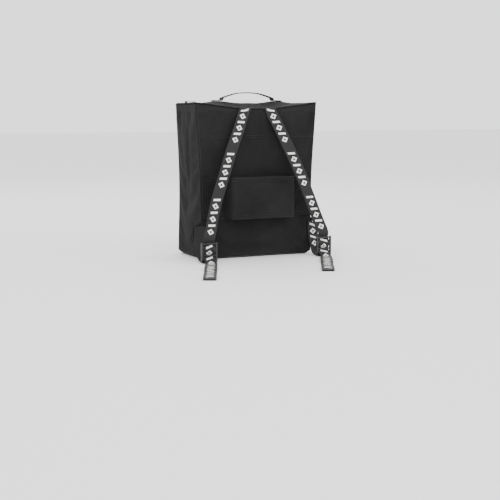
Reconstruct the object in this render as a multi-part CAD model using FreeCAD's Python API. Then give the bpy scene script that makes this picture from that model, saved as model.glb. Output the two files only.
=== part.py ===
# Weekender bag: an upright soft bag with a trolley sleeve, shoulder webbing and a carry handle.
# Millimetres. Origin at the centre of the base, +Z up, +X to the right of someone facing the
# harness, which is on the -Y side.
import FreeCAD, Part
import math
import os

Vec = FreeCAD.Vector

# --- body ---------------------------------------------------------------------------------
bodyHeight = 381.0
baseWidth = 304.0
topWidth = 332.0
baseDepth = 156.0
topDepth = 130.0
clothWall = 2.5            # outer cloth, padding and lining quilted together
boardThickness = 3.0
boardInset = 3.0
foamThickness = 4.0
foamInset = 6.0
foamFoot = 12.0            # height of the foam's lower edge

# --- mouth and zip ------------------------------------------------------------------------
zipOffset = 88.0           # zip line in front of the back face
mouthMargin = 20.0         # fixed top cloth left at each end of the flap
flapGap = 0.5
zipWindow = 8.0            # half of the slot in the top cloth over the zip
zipEndMargin = 6.0         # from the zip's end to the side of the top
tapeWidth = 15.0
tapeThickness = 0.8
coilWidth = 2.4
coilHeight = 2.0
coilGap = 0.4              # between the two halves of the chain
sliderLength = 10.0
sliderWidth = 9.6
sliderPlate = 1.2
sliderWall = 1.0
sliderClearance = 0.35
stopLength = 1.2
sliderEndGap = 2.0         # from the slider to the flap's end when parked
pivotRadius = 0.9
pullLength = 24.0
pullWidth = 7.0
pullThickness = 1.6
pullEyeWall = 1.1
pullNeck = 4.0             # length of the narrow part beside the eye
pullShoulder = 1.0         # step in from the tongue to the neck, each side
neckHalfLength = 1.0       # the slider's wedge between the coils, along the zip
neckPlay = 0.05            # and its gap to each coil
bridgeHalfLength = 1.6
cutMargin = 1.0            # that a cutting shape reaches past what it cuts

# --- carry handle -------------------------------------------------------------------------
handleOffset = 62.0        # in front of the back face
handleSpan = 138.0         # between the outer faces of its two legs
handleRise = 27.0          # from the top cloth to the crest
handleWidth = 18.0
handleThickness = 2.4
handleAxisRise = 10.8      # where the legs bend, above the top cloth
handleCrownRise = 11.5     # rise of the crown between its shoulders
handleShoulder = 4.0       # radius of the turn from leg to crown
handleCrownBend = 140.0
handleCrownShare = 0.35    # of half the span, that lies under the crest
tabThickness = 2.0
tabFoot = 26.0
tabEarRise = 13.0
looseGap = 0.3

# --- trolley sleeve -----------------------------------------------------------------------
sleeveFoot = 100.0
sleeveHeight = 103.0
sleeveThickness = 1.8
sleeveStandOff = 40.0      # from the back panel to the outside of the sleeve
sleeveFrontHalf = 83.0     # half the width of the raised part at its face
sleeveRootHalf = 91.0      # and where it meets the back panel
sleeveBend = 9.0
sleeveRootBend = 2.0

# --- shoulder webbing ---------------------------------------------------------------------
webbingWidth = 30.0
webbingThickness = 1.6
strapTopX = 32.0
strapTopDrop = 6.0         # below the top edge of the back panel
strapSewn = 14.0           # length sewn flat on the panel
strapEndX = 156.0          # at the adjuster
strapStandOffs = ((300.0, 22.0), (206.0, 46.0), (104.0, 52.0))   # height, distance off the panel
strapBend = 60.0
strapTopBend = 16.0
adjusterStandOff = 60.0

# --- adjuster, anchor and tail ------------------------------------------------------------
barRadius = 2.0
barPitch = 14.0
railWidth = 5.0
railThickness = 5.0
railRound = 1.2
railOverrun = 1.0          # past the first and last bars
slotPlay = 1.0             # beside the webbing, each side
barCount = 4
anchorBarHeight = 5.6
weaveReach = 3.5           # webbing's distance from a bar's centre where it passes it
tailLead = 11.0            # webbing above the top bar
tailStraight = 4.0
groundBend = 3.0
loopClearance = 1.2        # between the tail and the anchor's loop
tailTouch = 3.5            # from there to where the tail meets the ground
tailLength = 245.0         # along the ground, to the hemmed end
tailSwingLeft = 24.0       # degrees that each tail lies outwards of straight ahead
tailSwingRight = -28.0
weaveBend = 2.0
anchorTop = 84.0
anchorSewn = 26.0
anchorKneeOut = 22.0       # distance off the panel where it reaches the ground
anchorBend = 14.0
tabRootHeight = 48.0
tabTipHeight = 20.0
tabReach = 18.0
tabWall = 1.5

# --- worked out ---------------------------------------------------------------------------
backY = -baseDepth / 2
topZ = bodyHeight
wallTopZ = topZ - clothWall
zipY = backY + zipOffset
handleY = backY + handleOffset
adjusterY = backY - adjusterStandOff
flapHalf = topWidth / 2 - mouthMargin
zipHalf = topWidth / 2 - zipEndMargin
topBarHeight = anchorBarHeight + (barCount - 1) * barPitch


def halfWidth(z):
    return baseWidth / 2 + (topWidth - baseWidth) / 2 * z / bodyHeight


def frontY(z):
    return backY + baseDepth + (topDepth - baseDepth) * z / bodyHeight


def polygonFace(points):
    return Part.Face(Part.makePolygon(list(points) + [points[0]]))


def plate(points, low, high):
    """A flat plate: an outline in X and Y between two heights."""
    outline = polygonFace([Vec(x, y, low) for x, y in points])
    return outline.extrude(Vec(0, 0, high - low))


def box(lowX, highX, lowY, highY, lowZ, highZ):
    return Part.makeBox(highX - lowX, highY - lowY, highZ - lowZ, Vec(lowX, lowY, lowZ))


def frustum(lowRing, highRing):
    """A solid between two rings of matching corners."""
    count = len(lowRing)
    faces = [polygonFace(lowRing), polygonFace(highRing)]
    for i in range(count):
        j = (i + 1) % count
        faces.append(polygonFace([lowRing[i], lowRing[j], highRing[j], highRing[i]]))
    return Part.makeSolid(Part.makeShell(faces))


def ribbon(points, radii, thickness):
    """Outline edges, in the X and Y plane, of a band that follows the points with rounded turns."""
    half = thickness / 2
    sides = {1: [], -1: []}
    for side in sides:
        last = None
        for i, point in enumerate(points):
            ahead = points[i + 1] - point if i + 1 < len(points) else point - points[i - 1]
            behind = point - points[i - 1] if i else ahead
            ahead.normalize()
            behind.normalize()
            offBehind = Vec(-behind.y, behind.x, 0) * side * half
            offAhead = Vec(-ahead.y, ahead.x, 0) * side * half
            turn = math.atan2(behind.x * ahead.y - behind.y * ahead.x, behind.dot(ahead))
            if i in (0, len(points) - 1) or abs(turn) < 1e-6:
                arrive = leave = point + offAhead
                middle = None
            else:
                radius = radii[i - 1]
                reach = radius * math.tan(abs(turn) / 2)
                toCentre = Vec(-behind.y, behind.x, 0) * math.copysign(radius, turn)
                centre = point - behind * reach + toCentre
                arrive = point - behind * reach + offBehind
                leave = point + ahead * reach + offAhead
                outward = point - centre
                outward.normalize()
                middle = centre + outward * (radius - side * math.copysign(half, turn))
            if last is not None and (arrive - last).Length > 1e-6:
                sides[side].append(Part.makeLine(last, arrive))
            if middle is not None:
                sides[side].append(Part.Arc(arrive, middle, leave).toShape())
            last = leave
    start = Part.makeLine(sides[1][0].Vertexes[0].Point, sides[-1][0].Vertexes[0].Point)
    end = Part.makeLine(sides[1][-1].Vertexes[-1].Point, sides[-1][-1].Vertexes[-1].Point)
    return sides[1] + [end] + sides[-1] + [start]


def band(points, radii, thickness, along, up, width):
    """A band of webbing: the route in the plane of along and up, its width centred across it."""
    flat = [Vec(a, b, 0) for a, b in points]
    wire = Part.Wire(Part.__sortEdges__(ribbon(flat, radii, thickness)))
    across = along.cross(up)
    turned = FreeCAD.Matrix(along.x, up.x, across.x, 0, along.y, up.y, across.y, 0,
                            along.z, up.z, across.z, 0, 0, 0, 0, 1)
    face = Part.Face(wire).transformGeometry(turned)
    face.translate(across * (-width / 2))
    return face.extrude(across * width)


def placed(shape, x, y, z):
    moved = shape.copy()
    moved.translate(Vec(x, y, z))
    return moved


def mirrored(shape):
    return shape.mirror(Vec(0, 0, 0), Vec(1, 0, 0))


# --- body panels --------------------------------------------------------------------------
def ring(z, inset):
    """Corners of the body at a height: back left, back right, front right, front left."""
    half = halfWidth(z) - inset
    return [Vec(-half, backY + inset, z), Vec(half, backY + inset, z),
            Vec(half, frontY(z) - inset, z), Vec(-half, frontY(z) - inset, z)]


def wall(first, second):
    """One mitred wall between two corners of the body."""
    lows = (ring(clothWall, 0), ring(clothWall, clothWall))
    highs = (ring(wallTopZ, 0), ring(wallTopZ, clothWall))
    rings = [[outer[first], outer[second], inner[second], inner[first]]
             for outer, inner in (lows, highs)]
    return frustum(*rings)


def basePanel():
    return frustum(ring(0, 0), ring(clothWall, 0))


def baseBoard():
    top = clothWall + boardThickness
    inset = clothWall + boardInset
    corners = [(p.x, p.y) for p in ring(clothWall, inset)]
    return plate(corners, clothWall, top)


def backFoam():
    low = clothWall + foamFoot
    high = wallTopZ - foamInset
    inset = clothWall + foamInset
    near = backY + clothWall
    far = near + foamThickness
    rings = [[Vec(-half, near, z), Vec(half, near, z), Vec(half, far, z), Vec(-half, far, z)]
             for z, half in ((low, halfWidth(low) - inset), (high, halfWidth(high) - inset))]
    return frustum(*rings)


def topPanel():
    """The fixed top cloth: behind the zip and round both of its ends."""
    whole = frustum(ring(wallTopZ, 0), ring(topZ, 0))
    notchHalf = flapHalf + flapGap
    low = wallTopZ - cutMargin
    high = topZ + cutMargin
    notch = box(-notchHalf, notchHalf, zipY, frontY(0), low, high)
    window = box(-zipHalf, zipHalf, zipY - zipWindow, zipY + zipWindow, low, high)
    return whole.cut(notch).cut(window)


def topFlap():
    edge = min(frontY(topZ), frontY(wallTopZ))
    return box(-flapHalf, flapHalf, zipY + zipWindow, edge, wallTopZ, topZ)


# --- zip ----------------------------------------------------------------------------------
tapeLow = wallTopZ - tapeThickness
coilTop = wallTopZ + coilHeight


def zipHalfChain(side, low, high, lift):
    """The coil (lift 1) or the tape (lift 0) of one side of the zip."""
    near = zipY + side * coilGap / 2
    far = near + side * (coilWidth if lift else tapeWidth)
    heights = (wallTopZ, coilTop) if lift else (tapeLow, wallTopZ)
    return box(low, high, min(near, far), max(near, far), *heights)


def zipEnd(side):
    """The fixed front half of the chain at one end, past the flap, with its end stop."""
    inner = flapHalf + flapGap
    outer = zipHalf
    low, high = (inner, outer) if side > 0 else (-outer, -inner)
    stopLow, stopHigh = (outer - stopLength, outer) if side > 0 else (-outer, stopLength - outer)
    chain = zipHalfChain(1, low, high, 1).fuse(zipHalfChain(1, low, high, 0))
    stop = box(stopLow, stopHigh, zipY + coilGap / 2, zipY + coilGap / 2 + coilWidth, coilTop,
               coilTop + sliderPlate)
    return chain.fuse(stop).removeSplitter()


sliderX = -(flapHalf + flapGap + sliderEndGap + sliderLength / 2)
sliderLow = tapeLow - sliderClearance - sliderPlate
sliderHigh = coilTop + sliderClearance + sliderPlate
pivotZ = sliderHigh + pivotRadius + sliderClearance + pullEyeWall + looseGap


def zipSlider():
    """Two plates with side flanges round the coils, a neck between them and the pull's bridge."""
    lowX = sliderX - sliderLength / 2
    highX = sliderX + sliderLength / 2
    lowY = zipY - sliderWidth / 2
    highY = zipY + sliderWidth / 2
    under = box(lowX, highX, lowY, highY, sliderLow, sliderLow + sliderPlate)
    over = box(lowX, highX, lowY, highY, sliderHigh - sliderPlate, sliderHigh)
    body = under.fuse(over)
    for low in (lowY, highY - sliderWall):
        flange = box(lowX, highX, low, low + sliderWall, wallTopZ + sliderClearance, sliderHigh)
        body = body.fuse(flange)
    neckHalf = coilGap / 2 - neckPlay
    neck = box(sliderX - neckHalfLength, sliderX + neckHalfLength, zipY - neckHalf,
               zipY + neckHalf, sliderLow, sliderHigh)
    body = body.fuse(neck)
    earInner = pullWidth / 2 - pullShoulder + looseGap
    for side in (-1, 1):
        near = zipY + side * earInner
        far = near + side * sliderWall
        ear = box(sliderX - bridgeHalfLength, sliderX + bridgeHalfLength, min(near, far),
                  max(near, far), sliderHigh, pivotZ + pivotRadius)
        body = body.fuse(ear)
    pin = Part.makeCylinder(pivotRadius, 2 * earInner + sliderWall,
                            Vec(sliderX, zipY - earInner - sliderWall / 2, pivotZ), Vec(0, 1, 0))
    return body.fuse(pin).removeSplitter()


def zipPull():
    """An eye round the slider's pin and a flat tongue lying along the zip."""
    eyeInner = pivotRadius + looseGap
    eyeOuter = eyeInner + pullEyeWall
    eyeWidth = pullWidth - 2 * pullShoulder
    start = Vec(sliderX, zipY - eyeWidth / 2, pivotZ)
    eye = Part.makeCylinder(eyeOuter, eyeWidth, start, Vec(0, 1, 0))
    tongue = box(sliderX, sliderX + pullLength, zipY - pullWidth / 2, zipY + pullWidth / 2,
                 pivotZ - pullThickness / 2, pivotZ + pullThickness / 2)
    shoulders = box(sliderX - cutMargin, sliderX + pullNeck, zipY - pullWidth, zipY + pullWidth,
                    pivotZ - pullThickness, pivotZ + pullThickness)
    neck = box(sliderX, sliderX + pullNeck, zipY - eyeWidth / 2, zipY + eyeWidth / 2,
               pivotZ - pullThickness / 2, pivotZ + pullThickness / 2)
    hole = Part.makeCylinder(eyeInner, pullWidth, Vec(sliderX, zipY - pullWidth / 2, pivotZ),
                             Vec(0, 1, 0))
    return eye.fuse(tongue.cut(shoulders)).fuse(neck).cut(hole).removeSplitter()


# --- carry handle -------------------------------------------------------------------------
def carryHandle():
    """Two legs and a low crown of doubled webbing, its width lying front to back."""
    half = handleSpan / 2 - handleThickness / 2
    axis = topZ + handleAxisRise
    crest = topZ + handleRise - handleThickness / 2
    shoulder = crest - handleCrownRise
    reach = half * handleCrownShare
    points = [(-half, axis), (-half, shoulder), (-reach, crest), (reach, crest),
              (half, shoulder), (half, axis)]
    radii = [handleShoulder, handleCrownBend, handleCrownBend, handleShoulder]
    arch = band(points, radii, handleThickness, Vec(1, 0, 0), Vec(0, 0, 1), handleWidth)
    arch = placed(arch, 0, handleY, 0)
    for side in (-1, 1):
        start = side * half - handleThickness / 2
        foot = Part.makeCylinder(handleWidth / 2, handleThickness, Vec(start, handleY, axis),
                                 Vec(1, 0, 0))
        arch = arch.fuse(foot)
    return arch.removeSplitter()


def handleTab():
    """The right-hand root: a foot sewn on the top cloth, turned up beside the handle's leg."""
    inner = handleSpan / 2 + looseGap
    lowY = handleY - handleWidth / 2
    highY = handleY + handleWidth / 2
    foot = box(inner, inner + tabFoot, lowY, highY, topZ, topZ + tabThickness)
    ear = box(inner, inner + tabThickness, lowY, highY, topZ, topZ + tabEarRise)
    return foot.fuse(ear).removeSplitter()


# --- trolley sleeve -----------------------------------------------------------------------
def sleeveBand():
    """A band across the back panel, raised in the middle for the trolley's two tubes."""
    height = sleeveFoot + sleeveHeight
    edge = halfWidth(sleeveFoot)
    flush = sleeveThickness / 2
    face = sleeveStandOff - flush
    points = [(-edge, -flush), (-sleeveRootHalf, -flush), (-sleeveFrontHalf, -face),
              (sleeveFrontHalf, -face), (sleeveRootHalf, -flush), (edge, -flush)]
    radii = [sleeveRootBend, sleeveBend, sleeveBend, sleeveRootBend]
    route = [Vec(a, b, 0) for a, b in points]
    wire = Part.Wire(Part.__sortEdges__(ribbon(route, radii, sleeveThickness)))
    solid = Part.Face(wire).extrude(Vec(0, 0, height - sleeveFoot))
    return placed(solid, 0, backY, sleeveFoot)


# --- harness, right-hand side -------------------------------------------------------------
def shoulderStrap():
    """Webbing from the top of the back panel down to just above the adjuster."""
    topEdge = wallTopZ - strapTopDrop
    foot = topBarHeight + tailLead
    rise = topEdge - foot
    lean = math.atan2(strapEndX - strapTopX, rise)
    along = Vec(-math.sin(lean), 0, math.cos(lean))
    flush = webbingThickness / 2
    stands = [(foot, adjusterStandOff)] + list(strapStandOffs)[::-1]
    over = webbingWidth * math.tan(lean)
    points = [(-over, adjusterStandOff)]
    points += [((z - foot) / math.cos(lean), out) for z, out in stands[1:]]
    points += [((topEdge - strapSewn - foot) / math.cos(lean), flush),
               ((rise + over) / math.cos(lean), flush)]
    radii = [strapBend] * len(strapStandOffs) + [strapTopBend]
    strap = band([(s, -out) for s, out in points], radii, webbingThickness, along, Vec(0, 1, 0),
                 webbingWidth)
    strap = placed(strap, strapEndX, backY, foot)
    far = 2 * bodyHeight
    strap = strap.common(box(-far, far, -far, far, foot, topEdge))
    return strap


def weavePoints():
    """Route of the webbing in Y and Z: in and out of the bars, then along the ground."""
    reach = weaveReach
    y = adjusterY
    loopOuter = barRadius + looseGap + webbingThickness
    clear = loopOuter + looseGap + webbingThickness / 2 + loopClearance
    ground = webbingThickness / 2
    turnY = y - clear - tailTouch
    return [(y, topBarHeight + tailLead),
            (y, topBarHeight + tailLead - tailStraight),
            (y + reach, topBarHeight),
            (y - reach, topBarHeight - barPitch),
            (y + reach + looseGap, topBarHeight - 2 * barPitch),
            (y - clear, anchorBarHeight),
            (turnY, ground),
            (turnY - 2 * groundBend, ground)]


def strapTail(swing):
    """The webbing woven through the adjuster, and its loose end lying on the ground."""
    points = weavePoints()
    radii = [tailStraight] + [weaveBend] * 4 + [groundBend]
    weave = band(points, radii, webbingThickness, Vec(0, 1, 0), Vec(0, 0, 1), webbingWidth)
    startY = points[-1][0]
    angle = math.radians(swing)
    ahead = Vec(math.sin(angle), -math.cos(angle), 0)
    across = Vec(math.cos(angle), math.sin(angle), 0)
    root = Vec(0, startY, 0)
    edges = [across * (side * webbingWidth / 2) for side in (-1, 1)]
    starts = [root + Vec(side * webbingWidth / 2 / math.cos(angle), 0, 0) for side in (-1, 1)]
    ends = [root + ahead * tailLength + edge for edge in edges]
    loose = polygonFace([starts[0], starts[1], ends[1], ends[0]])
    loose = loose.extrude(Vec(0, 0, webbingThickness))
    return placed(weave.fuse(loose).removeSplitter(), strapEndX, 0, 0)


def ladderLock():
    """A moulded adjuster: two rails joined by four round bars."""
    slotHalf = webbingWidth / 2 + slotPlay
    outer = slotHalf + railWidth
    low = anchorBarHeight - barRadius - railOverrun
    high = topBarHeight + barRadius + railOverrun
    body = None
    for near in (-outer, slotHalf):
        rail = box(near, near + railWidth, -railThickness / 2, railThickness / 2, low, high)
        upright = [e for e in rail.Edges if abs(e.Length - (high - low)) < 1e-6]
        rail = rail.makeFillet(railRound, upright)
        body = rail if body is None else body.fuse(rail)
    for i in range(barCount):
        bar = Part.makeCylinder(barRadius, 2 * slotHalf + railWidth,
                                Vec(-slotHalf - railWidth / 2, 0, anchorBarHeight + i * barPitch),
                                Vec(1, 0, 0))
        body = body.fuse(bar)
    return placed(body.removeSplitter(), strapEndX, adjusterY, 0)


def anchorWebbing():
    """Short webbing from the side seam down to the adjuster's lowest bar, looped round it."""
    flush = webbingThickness / 2
    loopInner = barRadius + looseGap
    loopOuter = loopInner + webbingThickness
    low = anchorBarHeight - (loopInner + loopOuter) / 2
    points = [(backY - flush, anchorTop), (backY - flush, anchorTop - anchorSewn),
              (backY - anchorKneeOut, low), (adjusterY, low)]
    strip = band(points, [anchorBend, anchorBend], webbingThickness, Vec(0, 1, 0), Vec(0, 0, 1),
                 webbingWidth)
    centre = Vec(-webbingWidth / 2, adjusterY, anchorBarHeight)
    loop = Part.makeCylinder(loopOuter, webbingWidth, centre, Vec(1, 0, 0))
    hole = Part.makeCylinder(loopInner, webbingWidth + 2 * cutMargin,
                             centre - Vec(cutMargin, 0, 0), Vec(1, 0, 0))
    return placed(strip.fuse(loop).cut(hole).removeSplitter(), strapEndX, 0, 0)


def anchorTab():
    """A triangle of cloth in the side seam that backs the anchor webbing."""
    middle = anchorTop - anchorSewn / 2
    low = middle - tabRootHeight / 2
    high = middle + tabRootHeight / 2
    tip = strapEndX + tabReach
    outline = [Vec(halfWidth(low), backY, low), Vec(tip, backY, middle - tabTipHeight / 2),
               Vec(tip, backY, middle + tabTipHeight / 2), Vec(halfWidth(high), backY, high)]
    return polygonFace(outline).extrude(Vec(0, tabWall, 0))


# --- nodes --------------------------------------------------------------------------------
nodes = {
    "base_panel": basePanel(),
    "base_board": baseBoard(),
    "back_panel": wall(0, 1),
    "gusset_right": wall(1, 2),
    "front_panel": wall(2, 3),
    "gusset_left": wall(3, 0),
    "back_foam": backFoam(),
    "top_panel": topPanel(),
    "top_flap": topFlap(),
    "zip_tape_back": zipHalfChain(-1, -zipHalf, zipHalf, 0),
    "zip_coil_back": zipHalfChain(-1, -zipHalf, zipHalf, 1),
    "zip_tape_front": zipHalfChain(1, -flapHalf, flapHalf, 0),
    "zip_coil_front": zipHalfChain(1, -flapHalf, flapHalf, 1),
    "zip_end_left": zipEnd(-1),
    "zip_end_right": zipEnd(1),
    "zip_slider": zipSlider(),
    "zip_pull": zipPull(),
    "carry_handle": carryHandle(),
    "sleeve_band": sleeveBand(),
}
paired = {
    "handle_tab": handleTab(),
    "shoulder_strap": shoulderStrap(),
    "ladder_lock": ladderLock(),
    "anchor_webbing": anchorWebbing(),
    "anchor_tab": anchorTab(),
}
for name, shape in paired.items():
    nodes[name + "_right"] = shape
    nodes[name + "_left"] = mirrored(shape)

nodes["strap_tail_right"] = strapTail(tailSwingRight)
nodes["strap_tail_left"] = mirrored(strapTail(tailSwingLeft))

os.makedirs("parts", exist_ok=True)
for name, shape in nodes.items():
    solids = shape.Solids
    if len(solids) != 1 or not solids[0].isValid():
        print("check", name, len(solids), [s.isValid() for s in solids])
    solids[0].exportStep("parts/" + name + ".step")
print(len(nodes), "nodes")
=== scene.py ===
import math

import bmesh
import bpy
from mathutils import Matrix, Vector, noise
from mathutils.bvhtree import BVHTree


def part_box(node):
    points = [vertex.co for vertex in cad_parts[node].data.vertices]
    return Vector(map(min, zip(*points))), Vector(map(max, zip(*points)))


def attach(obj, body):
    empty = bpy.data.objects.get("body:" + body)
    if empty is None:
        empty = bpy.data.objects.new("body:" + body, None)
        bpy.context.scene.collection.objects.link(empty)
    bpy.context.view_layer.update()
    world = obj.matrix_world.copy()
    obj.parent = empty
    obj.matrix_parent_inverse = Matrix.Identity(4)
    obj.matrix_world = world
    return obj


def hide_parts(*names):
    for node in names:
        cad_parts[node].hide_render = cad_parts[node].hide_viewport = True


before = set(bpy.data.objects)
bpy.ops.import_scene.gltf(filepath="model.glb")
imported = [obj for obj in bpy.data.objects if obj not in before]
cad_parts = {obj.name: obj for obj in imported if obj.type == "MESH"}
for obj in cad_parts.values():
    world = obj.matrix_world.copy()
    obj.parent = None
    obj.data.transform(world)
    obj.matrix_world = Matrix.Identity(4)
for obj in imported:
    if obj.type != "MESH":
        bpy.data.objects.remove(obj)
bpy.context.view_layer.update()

baseLow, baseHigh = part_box("base_panel")
topLow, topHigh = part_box("top_panel")
flapLow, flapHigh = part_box("top_flap")
backY = baseLow.y
sides = {"left": -1, "right": 1}


# shared makers

def smoothStep(value):
    value = max(0.0, min(1.0, value))
    return value * value * (3 - 2 * value)


def addPiece(bm, name, materials, body, replaced=()):
    mesh = bpy.data.meshes.new(name)
    bm.to_mesh(mesh)
    bm.free()
    mesh.shade_smooth()
    for material in materials:
        mesh.materials.append(material)
    piece = bpy.data.objects.new(name, mesh)
    bpy.context.scene.collection.objects.link(piece)
    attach(piece, body)
    if replaced:
        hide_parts(*replaced)
    return piece


def setFinish(node, material):
    # a CAD node that keeps its own shape
    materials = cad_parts[node].data.materials
    materials.clear()
    materials.append(material)


def thicken(piece, thickness, offset=0.0, innerSlot=0):
    wall = piece.modifiers.new("thickness", "SOLIDIFY")
    wall.thickness = thickness
    wall.offset = offset
    wall.use_even_offset = False
    wall.material_offset = innerSlot


def soften(piece):
    smooth = piece.modifiers.new("smooth", "SUBSURF")
    smooth.levels = 1
    smooth.render_levels = 1


def sheetPiece(bm, name, materials, body, replaced, thickness, innerSlot=0):
    # a band or cloth built on its middle surface
    piece = addPiece(bm, name, materials, body, replaced)
    thicken(piece, thickness, innerSlot=innerSlot)
    soften(piece)


def cubeGrid(cuts):
    # a unit cube cut so many times along each axis
    bm = bmesh.new()
    bmesh.ops.create_cube(bm, size=1)
    for axis, count in cuts:
        edges = [e for e in bm.edges if abs((e.verts[0].co - e.verts[1].co)[axis]) > 0.9]
        bmesh.ops.subdivide_edges(bm, edges=edges, cuts=count, use_grid_fill=True)
    return bm


def faceOutwards(bm):
    bmesh.ops.recalc_face_normals(bm, faces=bm.faces)


def roundEdges(bm, edges, radius, segments):
    bmesh.ops.bevel(bm, geom=edges, offset=radius, offset_type="OFFSET", segments=segments,
                    profile=0.5, affect="EDGES", material=-1)


def facing(x, y, z):
    return lambda t: Vector((x, y, z))


def evenly(line, step):
    lengths = [0.0]
    for a, b in zip(line, line[1:]):
        lengths.append(lengths[-1] + (b - a).length)
    count = max(2, round(lengths[-1] / step))
    out = []
    k = 0
    for i in range(count + 1):
        target = lengths[-1] * i / count
        while k < len(line) - 2 and lengths[k + 1] < target:
            k += 1
        span = lengths[k + 1] - lengths[k]
        out.append(line[k].lerp(line[k + 1], (target - lengths[k]) / span if span else 0))
    return out


def smoothRoute(points, step):
    # a quadratic spline led by the points, cut into even steps
    curve = bpy.data.curves.new("route", "CURVE")
    curve.dimensions = "3D"
    curve.resolution_u = 16
    spline = curve.splines.new("NURBS")
    spline.points.add(len(points) - 1)
    for knot, point in zip(spline.points, points):
        knot.co = (*point, 1)
    spline.use_endpoint_u = True
    spline.order_u = 3
    holder = bpy.data.objects.new("route", curve)
    mesh = bpy.data.meshes.new_from_object(holder)
    line = [v.co.copy() for v in mesh.vertices]
    bpy.data.meshes.remove(mesh)
    bpy.data.objects.remove(holder)
    bpy.data.curves.remove(curve)
    return evenly(line, step)


def ribbon(route, acrossAt, width, columns, taper=None, uvStart=0.0):
    # a grid laid along a route, with its length and width in metres as its UV map
    rows = len(route) - 1
    bm = bmesh.new()
    uvLayer = bm.loops.layers.uv.new("cloth")
    bmesh.ops.create_grid(bm, x_segments=rows, y_segments=columns, size=0.5)
    lengths = [uvStart]
    for a, b in zip(route, route[1:]):
        lengths.append(lengths[-1] + (b - a).length)
    spots = {v: (round((v.co.x + 0.5) * rows), v.co.y) for v in bm.verts}
    for face in bm.faces:
        for loop in face.loops:
            row, side = spots[loop.vert]
            loop[uvLayer].uv = (lengths[row], side * width)
    for vert, (row, side) in spots.items():
        narrow = taper(lengths[row] - uvStart) if taper else 1
        vert.co = route[row] + acrossAt(row / rows) * (side * width * narrow)
    return bm


thread = {"pitch": 0.0036, "length": 0.0030, "width": 0.0007}


def stitch(bm, line, normal):
    # short threads laid end to end along a line
    points = evenly(line, thread["pitch"])
    for a, b in zip(points, points[1:]):
        along = (b - a).normalized()
        up = (normal - along * normal.dot(along)).normalized()
        turn = Matrix((along, up.cross(along), up)).transposed().to_4x4()
        size = Matrix.Diagonal((thread["length"] / 2, thread["width"] / 2, thread["width"] / 2, 1))
        place = Matrix.Translation((a + b) / 2) @ turn @ size
        bmesh.ops.create_icosphere(bm, subdivisions=1, radius=1, matrix=place)


# materials

def startMaterial(name):
    material = bpy.data.materials.new(name)
    material.use_nodes = True
    tree = material.node_tree

    def fill(inputs, node=tree.nodes["Principled BSDF"]):
        # an input takes another node's output or a plain value
        for key, value in inputs.items():
            if isinstance(value, bpy.types.NodeSocket):
                tree.links.new(value, node.inputs[key])
            else:
                node.inputs[key].default_value = value

    def make(kind, inputs=None, **settings):
        node = tree.nodes.new(kind)
        for key, value in settings.items():
            setattr(node, key, value)
        fill(inputs or {}, node)
        return node

    def calc(operation, *values):
        return make("ShaderNodeMath", dict(enumerate(values)), operation=operation).outputs[0]
    return material, make, calc, fill


def noiseAt(make, place, scale, detail, rough=0.5):
    inputs = {"Vector": place, "Scale": scale, "Detail": detail, "Roughness": rough}
    return make("ShaderNodeTexNoise", inputs).outputs["Fac"]


def colourRamp(make, look, value, low=0.0, high=1.0):
    ramp = make("ShaderNodeValToRGB", {"Fac": value})
    for spot, position, tone in zip(ramp.color_ramp.elements, (low, high), ("dark", "light")):
        spot.position = position
        spot.color = (*look[tone], 1)
    return ramp.outputs["Color"]


weaving = {"slubTone": 0.45, "cloudTone": 0.55, "low": 0.36, "high": 0.66, "smoother": 0.06,
           "rougher": 0.07, "slubHeight": 1.4, "relief": 0.0003, "sheenRough": 0.45}


def wovenCloth(name, look):
    material, make, calc, fill = startMaterial(name)
    place = make("ShaderNodeTexCoord").outputs["Object"]
    ribs = []
    for direction in ("X", "Y", "Z"):
        wave = make("ShaderNodeTexWave", {"Vector": place, "Scale": look["weave"], "Distortion": 0.6,
                                          "Detail": 1.0, "Detail Scale": 40.0},
                    bands_direction=direction)
        ribs.append(wave.outputs["Fac"])
    weave = calc("ADD", calc("ADD", ribs[0], ribs[1]), ribs[2])
    slub = noiseAt(make, place, look["slub"], detail=4.0, rough=0.6)
    cloud = noiseAt(make, place, look["cloud"], detail=3.0, rough=0.55)
    tone = calc("MULTIPLY", slub, weaving["slubTone"])
    tone = calc("MULTIPLY_ADD", cloud, weaving["cloudTone"], tone)
    # painted highlight: the cloth is painted paler along its seams, its base and the band below its top
    # edge, where light catches the edges
    seam = make("ShaderNodeAttribute", attribute_name="seam").outputs["Fac"]
    tone = calc("MULTIPLY_ADD", calc("MULTIPLY", seam, cloud), look["seamHighlight"], tone)
    colour = colourRamp(make, look, tone, weaving["low"], weaving["high"])
    rough = make("ShaderNodeMapRange", {"Value": slub, "To Min": look["rough"] - weaving["smoother"],
                                        "To Max": look["rough"] + weaving["rougher"]})
    height = calc("MULTIPLY_ADD", slub, weaving["slubHeight"], weave)
    bump = make("ShaderNodeBump", {"Height": height, "Strength": look["bump"],
                                   "Distance": weaving["relief"]})
    fill({"Base Color": colour, "Roughness": rough.outputs["Result"],
          "Normal": bump.outputs["Normal"], "Sheen Weight": look["sheen"],
          "Sheen Roughness": weaving["sheenRough"], "Specular IOR Level": look["gloss"]})
    return material


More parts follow.
